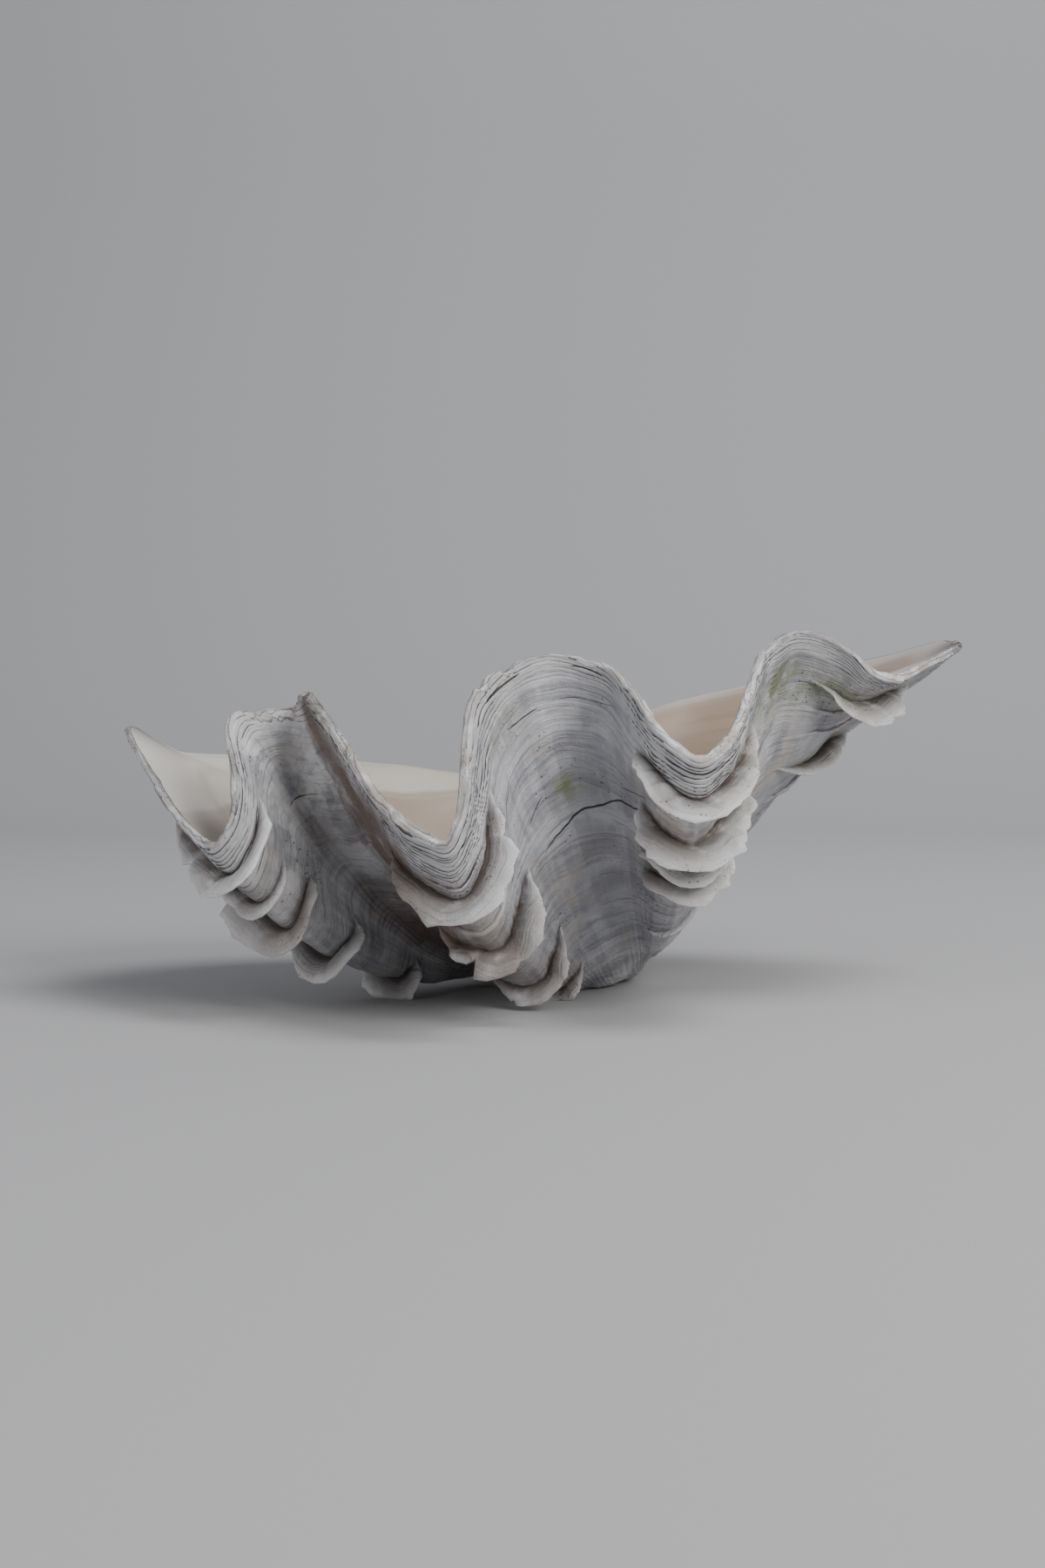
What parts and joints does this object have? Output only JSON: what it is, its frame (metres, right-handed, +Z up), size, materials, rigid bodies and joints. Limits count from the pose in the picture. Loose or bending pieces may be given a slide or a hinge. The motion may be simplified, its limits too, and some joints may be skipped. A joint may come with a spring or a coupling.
{
  "type": "giant clam shell",
  "caption": "Single valve of a fluted giant clam, hollow side up, with a deeply folded rim, leafy scutes on its ribs and a smooth bowl inside.",
  "frame": {"origin": "middle of the footprint box, on the plane the shell rests on", "axes": "+X along the shell's length to the right-hand tip, +Y from the wavy margin back to the hinge, +Z up out of the bowl"},
  "size_m": [0.4104, 0.2886, 0.1752],
  "materials": {
    "shell": "chalky grey-white outside with grey growth bands, satin cream to peach inside"
  },
  "bodies": {
    "root": {"valve": "shell"}
  },
  "joints": []
}
